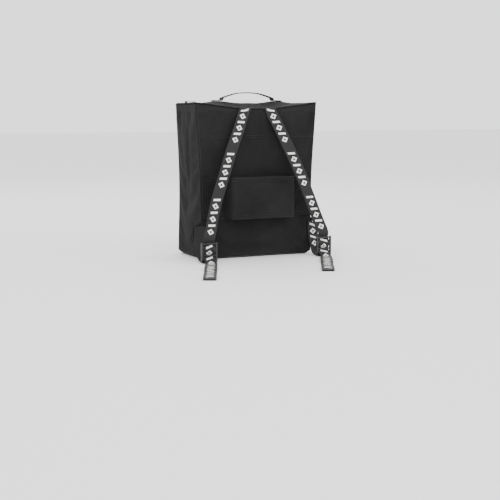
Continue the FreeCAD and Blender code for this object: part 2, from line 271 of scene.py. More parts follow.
def webbingCloth(name, look):
    # ribs across the band, a herringbone down it, and pale marks where the look has them
    material, make, calc, fill = startMaterial(name)
    uv = make("ShaderNodeUVMap", uv_map="cloth").outputs["UV"]
    split = make("ShaderNodeSeparateXYZ", {"Vector": uv})
    along, across = split.outputs["X"], split.outputs["Y"]
    offCentre = calc("ABSOLUTE", across)
    zigzag = calc("PINGPONG", offCentre, look["twill"] / 2)
    slanted = calc("ADD", along, zigzag)
    ribs = calc("PINGPONG", slanted, look["rib"])
    ribs = calc("DIVIDE", ribs, look["rib"])
    crossRib = look["rib"] * look["crossRib"]
    cross = calc("DIVIDE", calc("PINGPONG", across, crossRib), crossRib)
    weave = calc("ADD", ribs, cross)
    fuzz = noiseAt(make, uv, look["fuzz"], detail=4.0)
    cloud = noiseAt(make, uv, look["cloud"], detail=2.0)
    tone = calc("MULTIPLY", weave, look["weaveTone"])
    tone = calc("ADD", tone, calc("MULTIPLY", cloud, look["cloudTone"]))
    colour = colourRamp(make, look, tone, look["low"], look["high"])
    marks = look.get("marks")
    if marks:
        # blocks of slanted bars and lozenges, six to a block
        step = calc("FLOORED_MODULO", along, marks["period"])
        inBlock = calc("LESS_THAN", step, marks["block"])
        cell = marks["block"] / marks["count"]
        number = calc("FLOOR", calc("DIVIDE", step, cell))
        spot = calc("SUBTRACT", calc("FLOORED_MODULO", step, cell), cell / 2)
        lean = calc("SUBTRACT", spot, calc("MULTIPLY", across, marks["slant"]))
        bar = calc("LESS_THAN", calc("ABSOLUTE", lean), marks["barHalf"])
        bar = calc("MULTIPLY", bar, calc("LESS_THAN", offCentre, marks["tall"]))
        diamond = calc("ADD", calc("ABSOLUTE", spot), calc("MULTIPLY", offCentre, marks["squash"]))
        ring = calc("LESS_THAN", diamond, marks["lozenge"])
        hole = calc("GREATER_THAN", diamond, marks["lozenge"] * marks["hole"])
        ring = calc("MULTIPLY", ring, hole)
        odd = calc("FLOORED_MODULO", number, 2.0)
        shape = calc("MULTIPLY", ring, odd)
        plain = calc("MULTIPLY", bar, calc("SUBTRACT", 1.0, odd))
        shape = calc("MULTIPLY", calc("ADD", shape, plain), inBlock)
        worn = make("ShaderNodeMapRange", {"Value": fuzz, "From Min": 0.28, "From Max": 0.42})
        shape = calc("MULTIPLY", shape, worn.outputs["Result"])
        # sockets 6 and 7 are the two colours mixed, and 2 is the colour that comes out
        ink = {"Factor": shape, 6: colour, 7: (*marks["colour"], 1)}
        colour = make("ShaderNodeMix", ink, data_type="RGBA").outputs[2]
    height = calc("ADD", weave, calc("MULTIPLY", fuzz, look["fuzzHeight"]))
    bump = make("ShaderNodeBump", {"Height": height, "Strength": look["bump"],
                                   "Distance": look["relief"]})
    fill({"Base Color": colour, "Roughness": look["rough"], "Normal": bump.outputs["Normal"],
          "Sheen Weight": look["sheen"], "Specular IOR Level": look["gloss"]})
    return material


moulding = {"scuff": 0.12, "smoother": 0.08, "rougher": 0.14, "bump": 0.15, "relief": 0.0002,
            "coatRough": 0.12}


def moulded(name, look):
    material, make, _, fill = startMaterial(name)
    place = make("ShaderNodeTexCoord").outputs["Object"]
    grain = noiseAt(make, place, look["grain"], detail=5.0)
    scuff = noiseAt(make, place, look["grain"] * moulding["scuff"], detail=3.0)
    rough = make("ShaderNodeMapRange", {"Value": scuff, "From Min": 0.35, "From Max": 0.7,
                                        "To Min": look["rough"] - moulding["smoother"],
                                        "To Max": look["rough"] + moulding["rougher"]})
    bump = make("ShaderNodeBump", {"Height": grain, "Strength": moulding["bump"],
                                   "Distance": moulding["relief"]})
    fill({"Base Color": colourRamp(make, look, scuff), "Roughness": rough.outputs["Result"],
          "Normal": bump.outputs["Normal"], "Metallic": look["metal"],
          "Coat Weight": look["coat"], "Coat Roughness": moulding["coatRough"]})
    return material


# each look sets how strongly its seams, base and top edge band are painted paler, as a painted highlight
clothLook = {"weave": 330.0, "slub": 420.0, "cloud": 9.0, "dark": (0.008, 0.008, 0.0083),
             "light": (0.017, 0.017, 0.0175), "rough": 0.82, "seamHighlight": 0.28, "bump": 0.55,
             "sheen": 0.01, "gloss": 0.1}
liningLook = {"weave": 520.0, "slub": 500.0, "cloud": 7.0, "dark": (0.055, 0.056, 0.06),
              "light": (0.085, 0.086, 0.09), "rough": 0.62, "seamHighlight": 0.0, "bump": 0.3,
              "sheen": 0.1, "gloss": 0.5}
markLook = {"period": 0.118, "block": 0.096, "count": 6, "slant": 0.35, "barHalf": 0.0026,
            "tall": 0.0088, "lozenge": 0.0078, "squash": 0.9, "hole": 0.42,
            "colour": (0.80, 0.80, 0.78)}
webbingLook = {"twill": 0.010, "rib": 0.0011, "dark": (0.0045, 0.0045, 0.0047),
               "light": (0.013, 0.013, 0.0135), "rough": 0.66, "bump": 0.6, "sheen": 0.07, "gloss": 0.28,
               "crossRib": 0.8, "weaveTone": 0.35, "cloudTone": 0.5, "low": 0.2, "high": 0.85,
               "fuzz": 260.0, "cloud": 22.0, "fuzzHeight": 0.8, "relief": 0.0004}
bodyCloth = wovenCloth("bodyCloth", clothLook)
liningCloth = wovenCloth("liningCloth", liningLook)
printedWebbing = webbingCloth("printedWebbing", {**webbingLook, "marks": markLook})
plainWebbing = webbingCloth("plainWebbing", webbingLook)
zipTape = webbingCloth("zipTape", {**webbingLook, "twill": 0.004, "rib": 0.0007,
                                   "light": (0.026, 0.026, 0.027)})
lookKeys = ("grain", "rough", "metal", "coat", "dark", "light")
mouldedLooks = {
    "sewingThread": (900.0, 0.6, 0, 0, (0.014, 0.014, 0.0145), (0.026, 0.026, 0.027)),
    "glossPlastic": (700.0, 0.2, 0, 0.1, (0.003, 0.003, 0.003), (0.006, 0.006, 0.006)),
    "coilPlastic": (900.0, 0.42, 0, 0, (0.012, 0.012, 0.012), (0.022, 0.022, 0.022)),
    "enamel": (600.0, 0.42, 0.2, 0.12, (0.006, 0.006, 0.0064), (0.013, 0.013, 0.0135)),
}
sewingThread, glossPlastic, coilPlastic, enamel = (
    moulded(name, dict(zip(lookKeys, look))) for name, look in mouldedLooks.items())
print("materials made")


# body shell: four walls and a base, simulated as cloth between its seams

body = {"cells": (46, 22, 54), "inset": 0.0012, "wall": 0.0022, "waist": 0.0055, "waistPower": 1.5,
        "baseRound": 0.008, "topGap": 0.0004, "liftFade": 4, "topHeld": 0.0145, "held": 0.0012,
        "seamFold": 0.15, "openBand": 0.02, "sharp": 1.0, "crease": 0.8}
lift = {"sag": 0.0120, "sagFrom": -0.024, "sagRun": 0.05, "flat": 0.12, "slope": 0.86,
        "ear": 0.0035, "earFrom": 0.8, "earRun": 0.2, "leftEar": 0.6, "hump": 0.0062,
        "humpX": 0.079, "humpY": -0.017, "humpWide": 0.036, "humpDeep": 0.024, "zipEdge": 0.001,
        "zipRun": 0.012}
settle = {"frames": 22, "limit": 0.0065, "gravity": 0.35}
clothFeel = {"quality": 5, "mass": 0.25, "tension_stiffness": 20, "compression_stiffness": 18,
             "shear_stiffness": 8, "bending_stiffness": 1.6, "vertex_group_mass": "seams",
             "pin_stiffness": 1, "use_pressure": True, "uniform_pressure_force": 0.9,
             "shrink_min": -0.009}
bodyHeight = topHigh.z


def halfWidthAt(z):
    return baseHigh.x + (topHigh.x - baseHigh.x) * z / bodyHeight


def frontAt(z):
    return baseHigh.y + (topHigh.y - baseHigh.y) * z / bodyHeight


def waistAt(z):
    # the side seams draw in between the base and the top
    return body["waist"] * math.sin(math.pi * max(0.0, min(1.0, z / bodyHeight))) ** body["waistPower"]


def topLift(x, y):
    # the back edge sags between corners that stand up, and the handle pulls the cloth up
    acrossTop = abs(x) / topHigh.x
    toBack = smoothStep((lift["sagFrom"] - y) / lift["sagRun"])
    middle = 1 - smoothStep((acrossTop - lift["flat"]) / lift["slope"])
    corner = smoothStep((acrossTop - lift["earFrom"]) / lift["earRun"])
    ear = lift["ear"] * (1.0 if x > 0 else lift["leftEar"]) * corner * (0.5 + 0.5 * toBack)
    away = ((abs(x) - lift["humpX"]) / lift["humpWide"]) ** 2
    away += ((y - lift["humpY"]) / lift["humpDeep"]) ** 2
    hump = lift["hump"] * math.exp(-away) * smoothStep((lift["zipEdge"] - y) / lift["zipRun"])
    return hump - lift["sag"] * toBack * middle + ear


def bodyMesh():
    bm = cubeGrid([(axis, cells - 1) for axis, cells in enumerate(body["cells"])])
    for vert in bm.verts:
        t = vert.co.z + 0.5
        z = t * (topLow.z - body["topGap"])
        curl = max(0.0, 1 - z / body["baseRound"])
        inset = body["inset"] + body["baseRound"] * (1 - math.sqrt(1 - curl * curl))
        half = halfWidthAt(z) - inset - waistAt(z)
        near = backY + inset
        far = frontAt(z) - inset
        x = vert.co.x * 2 * half
        y = near + (vert.co.y + 0.5) * (far - near)
        vert.co = (x, y, z + topLift(x, y) * t ** body["liftFade"])
    return bm


def seamWeight(co):
    # 1 on a seam, the base or the top edge, and 0 on the loose cloth between
    half = halfWidthAt(co.z) - body["inset"] - waistAt(co.z)
    toSide = half - abs(co.x)
    toBack = co.y - backY - body["inset"]
    toFront = frontAt(co.z) - body["inset"] - co.y
    corner = max(toSide, min(toBack, toFront))
    toTop = topLow.z - body["topHeld"] - co.z
    return 1.0 if min(corner, co.z - body["baseRound"], toTop) < body["held"] else 0.0


# ends of each fold, its depth and its half width: back panel, the two gussets, then the front
creases = [
    ((-0.155, -0.078, 0.35), (-0.118, -0.078, 0.3), 0.0036, 0.0065),
    ((-0.15, -0.078, 0.33), (-0.12, -0.078, 0.262), 0.0022, 0.006),
    ((0.152, -0.078, 0.352), (0.122, -0.078, 0.29), 0.003, 0.0065),
    ((-0.15, -0.078, 0.02), (-0.1, -0.078, 0.055), 0.003, 0.007),
    ((-0.152, -0.078, 0.055), (-0.12, -0.078, 0.085), 0.0022, 0.006),
    ((0.148, -0.078, 0.018), (0.1, -0.078, 0.05), 0.0028, 0.007),
    ((-0.06, -0.078, 0.03), (0.05, -0.078, 0.022), 0.0018, 0.008),
    ((-0.16, -0.04, 0.372), (-0.157, -0.01, 0.17), 0.005, 0.012),
    ((-0.16, 0.028, 0.372), (-0.156, 0.006, 0.12), 0.0042, 0.011),
    ((-0.154, -0.06, 0.07), (-0.153, 0.0, 0.02), 0.0034, 0.008),
    ((-0.154, 0.06, 0.085), (-0.153, 0.015, 0.03), 0.003, 0.008),
    ((0.16, -0.038, 0.372), (0.157, -0.006, 0.16), 0.005, 0.012),
    ((0.16, 0.026, 0.372), (0.156, 0.004, 0.13), 0.0042, 0.011),
    ((0.154, -0.056, 0.075), (0.153, 0.004, 0.02), 0.0034, 0.008),
    ((-0.12, 0.056, 0.35), (-0.06, 0.062, 0.25), 0.003, 0.009),
    ((0.13, 0.056, 0.345), (0.07, 0.064, 0.23), 0.003, 0.009),
    ((-0.13, 0.074, 0.03), (-0.05, 0.072, 0.08), 0.0032, 0.009),
    ((0.12, 0.074, 0.03), (0.02, 0.07, 0.1), 0.0032, 0.009),
]
creaseShape = {"reach": 3, "shoulder": 0.55, "spread": 1.3, "fade": 0.5}
ripples = ((16, 0.0011, Vector((0, 0, 0))), (42, 0.0005, Vector((3, 1, 7))))


def creaseDepth(co):
    depth = 0.0
    for start, end, deep, wide in creases:
        a, b = Vector(start), Vector(end)
        run = b - a
        t = max(0.0, min(1.0, (co - a).dot(run) / run.length_squared))
        away = (co - a - run * t).length / wide
        if away < creaseShape["reach"]:
            # a valley with a low shoulder on each side
            valley = 1 - creaseShape["shoulder"] * away * away
            valley *= math.exp(-away * away / creaseShape["spread"])
            depth += deep * valley * (1 - creaseShape["fade"] * t)
    return depth + sum(noise.noise(co * scale + shift) * high for scale, high, shift in ripples)


def simulateBody(piece):
    cloth = piece.modifiers.new("cloth", "CLOTH")
    settings = cloth.settings
    for key, value in clothFeel.items():
        setattr(settings, key, value)
    settings.effector_weights.gravity = settle["gravity"]
    cloth.collision_settings.use_collision = False
    scene = bpy.context.scene
    scene.frame_end = settle["frames"]
    for step in range(1, settle["frames"] + 1):
        scene.frame_set(step)
    settled = piece.evaluated_get(bpy.context.evaluated_depsgraph_get())
    shape = [v.co.copy() for v in settled.data.vertices]
    piece.modifiers.remove(cloth)
    for vert, co in zip(piece.data.vertices, shape):
        move = co - vert.co
        if move.length > settle["limit"]:
            move *= settle["limit"] / move.length
        vert.co += move
    scene.frame_set(1)


def finishBody(piece):
    bm = bmesh.new()
    bm.from_mesh(piece.data)
    bm.normal_update()
    moves = {}
    for vert in bm.verts:
        loose = 1 - vert[bm.verts.layers.float["seam"]]
        fade = min(1.0, loose + body["seamFold"])
        moves[vert] = -vert.normal * creaseDepth(vert.co) * fade
    for vert, move in moves.items():
        vert.co += move
        vert.co.z = max(vert.co.z, 0.0)
    lid = [f for f in bm.faces
           if f.normal.z > 0.6 and f.calc_center_median().z > topLow.z - body["openBand"]]
    bmesh.ops.delete(bm, geom=lid, context="FACES")
    crease = bm.edges.layers.float.new("crease_edge")
    for edge in bm.edges:
        if len(edge.link_faces) == 2 and edge.calc_face_angle() > body["sharp"]:
            edge[crease] = body["crease"]
    for face in bm.faces:
        face.smooth = True
    bm.to_mesh(piece.data)
    bm.free()


shellMesh = bodyMesh()
seamLayer = shellMesh.verts.layers.float.new("seam")
for vert in shellMesh.verts:
    vert[seamLayer] = seamWeight(vert.co)
shell = addPiece(shellMesh, "bagShell", [bodyCloth, liningCloth], "bag",
                 ("back_panel", "front_panel", "gusset_left", "gusset_right", "base_panel"))
seamGroup = shell.vertex_groups.new(name="seams")
for vert, entry in zip(shell.data.vertices, shell.data.attributes["seam"].data):
    if entry.value > 0:
        seamGroup.add([vert.index], entry.value, "REPLACE")
simulateBody(shell)
finishBody(shell)
soften(shell)
thicken(shell, body["wall"], offset=-1.0, innerSlot=1)
print("shell made")


# top cloth, its fixed part, and the flap in front of the zip

top = {"cell": 0.0075, "thick": 0.0022, "notchX": flapHigh.x + 0.0005, "zipBack": 0.002,
       "zipFront": flapLow.y, "zipEnd": 0.160, "edge": 0.001, "bow": 0.0009, "bowScale": 22,
       "bowFrom": 0.008, "bowRun": 0.02}
flapShape = {"hingeGap": 0.0006, "sideRun": 0.02, "zipRun": 0.008, "wave": 0.0008, "waves": 55,
             "swell": 0.0007}


def topGrid(lowX, highX, lowY, highY, cell):
    bm = bmesh.new()
    columns = round((highX - lowX) / cell)
    rows = max(2, round((highY - lowY) / cell))
    bmesh.ops.create_grid(bm, x_segments=columns, y_segments=rows, size=0.5)
    bmesh.ops.scale(bm, verts=bm.verts, vec=(highX - lowX, highY - lowY, 1))
    bmesh.ops.translate(bm, verts=bm.verts,
                        vec=((lowX + highX) / 2, (lowY + highY) / 2, topHigh.z - top["thick"] / 2))
    return bm


def cutAt(bm, axis, value):
    normal = Vector((0, 0, 0))
    normal[axis] = 1
    spot = normal * value
    bmesh.ops.bisect_plane(bm, geom=bm.verts[:] + bm.edges[:] + bm.faces[:], plane_co=spot,
                           plane_no=normal, dist=1e-6)


topMesh = topGrid(-topHigh.x + top["edge"], topHigh.x - top["edge"], backY + top["edge"],
                  topHigh.y - top["edge"], top["cell"])
for axis, value in ((0, -top["notchX"]), (0, top["notchX"]), (0, -top["zipEnd"]), (0, top["zipEnd"]),
                    (1, top["zipBack"]), (1, top["zipFront"])):
    cutAt(topMesh, axis, value)


def isOpen(face):
    # under the flap, or in the zip's window
    centre = face.calc_center_median()
    inFlap = abs(centre.x) < top["notchX"] and centre.y > top["zipBack"]
    return inFlap or abs(centre.x) < top["zipEnd"] and top["zipBack"] < centre.y < top["zipFront"]


bmesh.ops.delete(topMesh, geom=[f for f in topMesh.faces if isOpen(f)], context="FACES")
for vert in topMesh.verts:
    behindZip = smoothStep((top["zipBack"] - top["bowFrom"] - vert.co.y) / top["bowRun"])
    bow = noise.noise(vert.co * top["bowScale"]) * top["bow"] * behindZip
    vert.co.z += topLift(vert.co.x, vert.co.y) + bow
sheetPiece(topMesh, "topCloth", [bodyCloth, liningCloth], "bag", ("top_panel",),
           top["thick"], 1)

flapMesh = topGrid(flapLow.x, flapHigh.x, flapLow.y, flapHigh.y - flapShape["hingeGap"],
                   top["cell"])
for vert in flapMesh.verts:
    inner = min(1.0, (flapHigh.x - abs(vert.co.x)) / flapShape["sideRun"],
                (vert.co.y - flapLow.y) / flapShape["zipRun"])
    wave = flapShape["wave"] * math.sin(vert.co.x * flapShape["waves"])
    vert.co.z += (wave + flapShape["swell"]) * smoothStep(inner)
sheetPiece(flapMesh, "topFlap", [bodyCloth, liningCloth], "flap", ("top_flap",),
           top["thick"], 1)
print("top made")


# rolled seams round the top and down the four corners

seams = {"radius": 0.0014, "frontRadius": 0.0011, "round": 8, "step": 0.006, "tuck": 0.0022,
         "stop": 0.0095, "bend": 0.006, "foot": 0.008, "hingeY": 0.053}


def cordPiece(name, line, radius):
    # a bead of cloth swept along a line
    bm = bmesh.new()
    bmesh.ops.create_circle(bm, cap_ends=False, segments=seams["round"], radius=radius)
    ring = bm.edges[:]
    heading = (line[1] - line[0]).normalized()
    turn = heading.to_track_quat("Z", "Y")
    for vert in bm.verts:
        vert.co = line[0] + turn @ vert.co
    for i in range(1, len(line)):
        ahead = (line[min(i + 1, len(line) - 1)] - line[i - 1]).normalized()
        made = bmesh.ops.extrude_edge_only(bm, edges=ring)["geom"]
        fresh = [g for g in made if isinstance(g, bmesh.types.BMVert)]
        ring = [g for g in made if isinstance(g, bmesh.types.BMEdge)]
        turn = heading.rotation_difference(ahead)
        for vert in fresh:
            vert.co = line[i] + turn @ (vert.co - line[i - 1])
        heading = ahead
    bmesh.ops.holes_fill(bm, edges=[e for e in bm.edges if e.is_boundary], sides=0)
    faceOutwards(bm)
    addPiece(bm, name, [bodyCloth], "bag")


def topCorner(x, y):
    return Vector((x, y, topHigh.z - seams["radius"] + topLift(x, y)))


half = topHigh.x - 0.0008
nearEdge = backY + 0.0006
farEdge = topHigh.y - 0.0002
bend = seams["bend"]
flank = [(half, farEdge - seams["stop"])]
flank += [(half, farEdge + (nearEdge - farEdge) * i / 6) for i in range(1, 6)]
flank += [(half, nearEdge + bend), (half, nearEdge), (half - bend, nearEdge)]
backRun = [(-half + 2 * half * i / 14, nearEdge) for i in range(1, 14)]
rim = [topCorner(x, y) for x, y in [(-x, y) for x, y in flank] + backRun + flank[::-1]]
cordPiece("topSeamRoll", smoothRoute(rim, seams["step"]), seams["radius"])
frontRoll = [Vector((x, seams["hingeY"] - 0.0002, topLow.z)) for x in (-half, -0.08, 0.08, half)]
cordPiece("frontSeamRoll", smoothRoute(frontRoll, seams["step"]), seams["frontRadius"])
for name, side in sides.items():
    for face in ("back", "front"):
        corner = []
        for i in range(9):
            z = seams["foot"] + (topLow.z - seams["stop"]) * i / 8
            y = backY + seams["tuck"] if face == "back" else frontAt(z) - seams["tuck"]
            x = side * (halfWidthAt(z) - waistAt(z) - seams["tuck"])
            raised = topLift(side * topHigh.x, y) * (z / bodyHeight) ** body["liftFade"]
            corner.append(Vector((x, y, z + raised)))
        cordPiece(face + "Seam_" + name, smoothRoute(corner, seams["step"]), seams["radius"])
print("seams made")


# inside: back pad and covered base board

padLow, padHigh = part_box("back_foam")
pad = {"cuts": ((0, 47), (2, 55)), "channels": (0.12, 0.24), "channelHalf": 0.012, "clear": 0.0013,
       "below": 0.006, "sagAt": 0.004, "sideGap": 0.0095, "sideSteep": 12, "endSteep": 14,
       "edgeThick": 0.0012, "swell": 0.0016, "sewnShare": 0.35, "fill": 0.8}
panelMesh = bmesh.new()
panelMesh.from_mesh(shell.data)
panelTree = BVHTree.FromBMesh(panelMesh)
panelMesh.free()
padMesh = cubeGrid(pad["cuts"])
for vert in padMesh.verts:
    sagAbove = topLift(vert.co.x * 2 * halfWidthAt(padHigh.z), backY + pad["sagAt"])
    crest = min(padHigh.z, topLow.z + sagAbove - pad["below"])
    z = padLow.z + (vert.co.z + 0.5) * (crest - padLow.z)
    wide = halfWidthAt(z) - pad["sideGap"]
    edge = min(1.0, (0.5 - abs(vert.co.x)) * pad["sideSteep"],
               (0.5 - abs(vert.co.z)) * pad["endSteep"])
    sewn = min(min(1.0, abs(z - c) / pad["channelHalf"]) for c in pad["channels"])
    puffed = pad["sewnShare"] + (1 - pad["sewnShare"]) * smoothStep(sewn)
    crown = pad["edgeThick"] + (padHigh.y - padLow.y + pad["swell"]) * smoothStep(edge) * puffed
    x = vert.co.x * 2 * (wide - waistAt(z))
    hit = panelTree.ray_cast(Vector((x, 0, z)), Vector((0, -1, 0)))[0]
    face = max(padLow.y, (hit.y if hit else backY) + body["wall"]) + pad["clear"]
    vert.co = (x, face + (crown if vert.co.y > 0 else 0.0), z)
backPad = addPiece(padMesh, "backPad", [liningCloth], "bag", ("back_foam",))
soften(backPad)

boardLow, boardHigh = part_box("base_board")
board = {"corner": 0.012, "rim": 0.0011}
boardMesh = bmesh.new()
bmesh.ops.create_cube(boardMesh, size=1)
bmesh.ops.scale(boardMesh, verts=boardMesh.verts, vec=boardHigh - boardLow)
bmesh.ops.translate(boardMesh, verts=boardMesh.verts, vec=(boardLow + boardHigh) / 2)
upright = [e for e in boardMesh.edges if abs(e.verts[0].co.z - e.verts[1].co.z) > 0.001]
roundEdges(boardMesh, upright, board["corner"], 5)
rims = [e for e in boardMesh.edges if abs(e.verts[0].co.z - e.verts[1].co.z) < 1e-5]
roundEdges(boardMesh, rims, board["rim"], 3)
addPiece(boardMesh, "coveredBaseBoard", [liningCloth], "bag", ("base_board",))
print("inside made")


# zip: tapes, coils, slider and pull

coilLow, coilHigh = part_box("zip_coil_back")
tapeLow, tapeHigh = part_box("zip_tape_back")
frontTapeLow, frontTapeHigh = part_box("zip_tape_front")
endLow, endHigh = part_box("zip_end_right")
zipper = {"y": 0.010, "gap": 0.0002, "pitch": 0.0017, "wire": 0.00042, "tape": 0.0007,
          "tapeWidth": 0.0147, "tapeStep": 0.006, "cordHigh": 0.42, "cordOut": 0.45,
          "stop": (0.0012, 0.0056, 0.0016), "stopRound": 0.0003}
zipY = zipper["y"]


def tapePiece(name, lowX, highX, side, body, replaced):
    y = zipY + side * ((abs(tapeLow.y - zipY) + zipper["gap"]) / 2)
    z = (tapeLow.z + tapeHigh.z) / 2
    line = evenly([Vector((lowX, y, z)), Vector((highX, y, z))], zipper["tapeStep"])
    bm = ribbon(line, facing(0, 1, 0), zipper["tapeWidth"], 4)
    piece = addPiece(bm, name, [zipTape], body, replaced)
    thicken(piece, zipper["tape"])


def coilPiece(name, lowX, highX, side, body, replaced, shift=0.0):
    # one flattened loop of wire for each tooth, hooked towards the other row
    bm = bmesh.new()
    count = int((highX - lowX) / zipper["pitch"])
    radiusY = (coilHigh.y - coilLow.y) / 2
    radiusZ = (coilHigh.z - coilLow.z) / 2
    centre = Vector((0, zipY + side * (zipper["gap"] + radiusY), coilLow.z + radiusZ))
    for i in range(count):
        x = lowX + (i + 0.5 + shift) * zipper["pitch"]
        place = Matrix.Translation((x, centre.y, centre.z))
        size = Matrix.Diagonal((zipper["wire"] * 1.15, radiusY * 0.98, radiusZ * 0.98, 1))
        bmesh.ops.create_icosphere(bm, subdivisions=1, radius=1, matrix=place @ size)
    for height in (zipper["cordHigh"], -zipper["cordHigh"]):
        place = Matrix.Translation(((lowX + highX) / 2, centre.y + side * radiusY * zipper["cordOut"],
                                    centre.z + radiusZ * height))
        size = Matrix.Diagonal((highX - lowX - 0.0006, radiusY * 0.7, radiusZ * 0.6, 1))
        bmesh.ops.create_cube(bm, size=1, matrix=place @ size)
    addPiece(bm, name, [coilPlastic], body, replaced)


tapePiece("tapeBack", tapeLow.x, tapeHigh.x, -1, "bag", ("zip_tape_back",))
tapePiece("tapeFront", frontTapeLow.x, frontTapeHigh.x, 1, "flap", ("zip_tape_front",))
coilPiece("coilBack", coilLow.x, coilHigh.x, -1, "bag", ("zip_coil_back",))
coilPiece("coilFront", frontTapeLow.x, frontTapeHigh.x, 1, "flap", ("zip_coil_front",), 0.5)
for name, side in sides.items():
    ends = sorted((side * endLow.x, side * endHigh.x))
    tapePiece("tapeEnd_" + name, ends[0], ends[1], 1, "bag", ("zip_end_" + name,))
    coilPiece("coilEnd_" + name, ends[0], ends[1], 1, "bag", (), 0.5)
    stopMesh = bmesh.new()
    place = Matrix.Translation((side * (endHigh.x - 0.0006), zipY, coilHigh.z + 0.0001))
    bmesh.ops.create_cube(stopMesh, size=1, matrix=place @ Matrix.Diagonal((*zipper["stop"], 1)))
    roundEdges(stopMesh, stopMesh.edges[:], zipper["stopRound"], 2)
    addPiece(stopMesh, "zipStop_" + name, [enamel], "bag")
for node in ("zip_slider", "zip_pull"):
    setFinish(node, enamel)
print("zip made")


# carry handle and its two roots

rootLow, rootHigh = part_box("handle_tab_right")
gripLow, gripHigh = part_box("carry_handle")
handle = {"y": (gripLow.y + gripHigh.y) / 2, "width": 0.018, "thick": 0.0024, "axis": 0.0108,
          "radius": 0.009, "foot": 0.0030, "step": 0.003, "narrow": 0.25, "narrowFrom": 0.02,
          "narrowRun": 0.03, "endShare": 0.55, "arcShare": 0.45, "tabThick": 0.0019, "tabStep": 0.0015}
legX = gripHigh.x - handle["thick"] / 2
crest = gripHigh.z - handle["thick"] / 2
axisZ = topHigh.z + handle["axis"]
leg = [(legX, axisZ - handle["foot"]), (legX, axisZ + 0.001), (legX - 0.0004, crest - 0.0118),
       (legX * 0.80, crest - 0.0076), (legX * 0.46, crest - 0.0008)]
arch = [(-x, z) for x, z in leg] + [(0, crest + 0.0010)] + leg[::-1]
gripLine = smoothRoute([Vector((x, handle["y"], z)) for x, z in arch], handle["step"])
gripLength = sum((b - a).length for a, b in zip(gripLine, gripLine[1:]))


def gripTaper(length):
    fromEnd = min(length, gripLength - length)
    rise = max(0.0, handle["radius"] - fromEnd) / handle["radius"]
    along = smoothStep((fromEnd - handle["narrowFrom"]) / handle["narrowRun"])
    tip = handle["endShare"] + handle["arcShare"] * math.sqrt(1 - rise * rise)
    return (1 - handle["narrow"] * along) * tip


gripMesh = ribbon(gripLine, facing(0, 1, 0), handle["width"], 6, gripTaper)
sheetPiece(gripMesh, "carryGrip", [plainWebbing], "handle", ("carry_handle",),
           handle["thick"])
for name, side in sides.items():
    x = rootLow.x + 0.001
    tabRoute = [Vector((side * a, handle["y"], topHigh.z + topLift(side * a, handle["y"]) + b))
                for a, b in ((rootHigh.x, 0.0010), (rootHigh.x - 0.007, 0.0011),
                             (rootLow.x + 0.012, 0.0011), (x + 0.0026, 0.0011), (x, 0.0013),
                             (x, 0.0030), (x, 0.0085))]
    tabMesh = ribbon(smoothRoute(tabRoute, handle["tabStep"]), facing(0, 1, 0),
                     handle["width"], 6)
    tab = addPiece(tabMesh, "handleRoot_" + name, [plainWebbing], "bag",
                   ("handle_tab_" + name,))
    thicken(tab, handle["tabThick"])
print("handle made")


# trolley sleeve: one band, flat at its wings and raised in the middle

sleeveLow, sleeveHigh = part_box("sleeve_band")
sleeve = {"thick": 0.0018, "step": 0.004, "flatHalf": 0.080, "slack": 0.0030, "pull": 0.0008,
          "fold": 0.0028, "foldWide": 0.006, "rough": 0.0012, "hemWide": 0.009, "hemThick": 0.0006}
standOff = backY - sleeveLow.y
wingX = halfWidthAt(sleeveLow.z) - waistAt(sleeveLow.z) - 0.0008
flush = -sleeve["thick"] / 2
wing = [(wingX, flush), (0.120, flush), (0.099, flush), (0.0905, flush - 0.001), (0.0880, -0.012),
        (0.0855, -standOff + 0.010), (0.0825, -standOff + 0.0006), (0.0700, -standOff + 0.0012),
        (0.030, -standOff + 0.0016)]
sleeveRoute = [Vector((x, backY + y, 0)) for x, y in [(-x, y) for x, y in wing] + wing[::-1]]
sleeveLine = smoothRoute(sleeveRoute, sleeve["step"])
sleeveMesh = ribbon(sleeveLine, facing(0, 0, 1), sleeveHigh.z - sleeveLow.z, 24)
sleeveMid = (sleeveLow.z + sleeveHigh.z) / 2
sleeveMesh.normal_update()
for vert in sleeveMesh.verts:
    vert.co.z += sleeveMid
    raised = smoothStep((backY - 0.004 - vert.co.y) / 0.02)
    onTop = smoothStep((sleeve["flatHalf"] - abs(vert.co.x)) / 0.012)
    free = 1 - abs(vert.co.z - sleeveMid) / (sleeveHigh.z - sleeveMid)
    pull = math.sin(vert.co.x * 46 + vert.co.z * 30) * sleeve["pull"]
    slack = sleeve["slack"] * onTop * (0.35 + 0.65 * math.sin(math.pi * free / 2))
    fromFold = vert.co.x + 0.070 + (vert.co.z - sleeveLow.z) * 0.4
    fold = sleeve["fold"] * math.exp(-(fromFold / sleeve["foldWide"]) ** 2)
    fold *= smoothStep((sleeveLow.z + 0.04 - vert.co.z) / 0.03)
    rough = noise.noise(vert.co * 30) * sleeve["rough"]
    vert.co.y += raised * (slack + pull * onTop + fold + rough)
    vert.co.z += raised * onTop * 0.0012 * math.sin(vert.co.x * 38 + 0.8)
faceOutwards(sleeveMesh)
sheetPiece(sleeveMesh, "trolleySleeve", [bodyCloth], "bag", ("sleeve_band",), sleeve["thick"])
for name, z in (("sleeveHemLow", sleeveLow.z), ("sleeveHemHigh", sleeveHigh.z)):
    inward = 1 if z < sleeveMid else -1
    hemLine = [p + Vector((0, -0.0009, z + inward * sleeve["hemWide"] / 2)) for p in sleeveLine]
    hemMesh = ribbon(hemLine, facing(0, 0, 1), sleeve["hemWide"], 3)
    sheetPiece(hemMesh, name, [bodyCloth], "bag", (), sleeve["hemThick"])
print("sleeve made")


# harness: printed webbing, its adjusters and anchors

